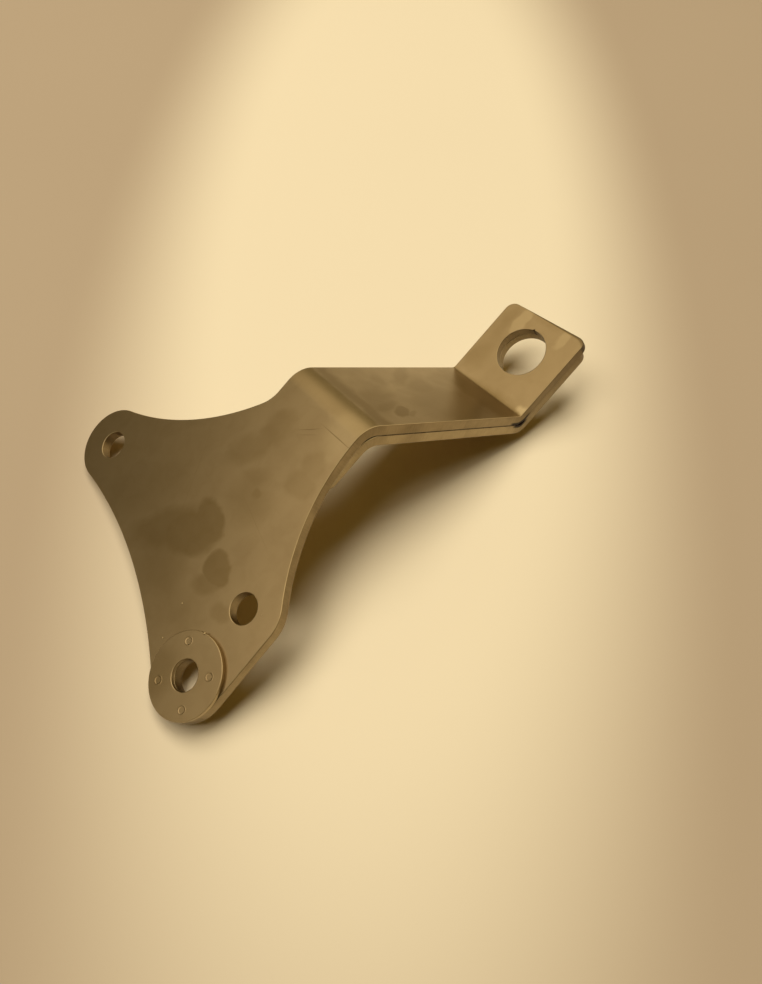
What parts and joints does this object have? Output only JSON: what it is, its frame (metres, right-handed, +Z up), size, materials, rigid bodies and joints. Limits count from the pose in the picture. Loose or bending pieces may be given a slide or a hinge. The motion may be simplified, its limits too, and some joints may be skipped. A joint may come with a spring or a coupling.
{
  "type": "motorcycle footrest hanger",
  "caption": "Flat lobed mounting plate in bare steel that folds down and back up through a doubled arm to a square tab with a large round hole.",
  "frame": {"origin": "middle of the base of the bracket as it lies on a floor, at floor height", "axes": "+Z up from the floor; +X runs the long way, from the mounting plate towards the tab; +Y across, towards the upper mounting hole"},
  "size_m": [0.2054, 0.1248, 0.0532],
  "materials": {
    "main_plate": "satin",
    "doubler": "satin",
    "weld_washer": "satin"
  },
  "bodies": {
    "root": {"main_plate": "main_plate", "doubler": "doubler", "weld_washer": "weld_washer"}
  },
  "joints": []
}
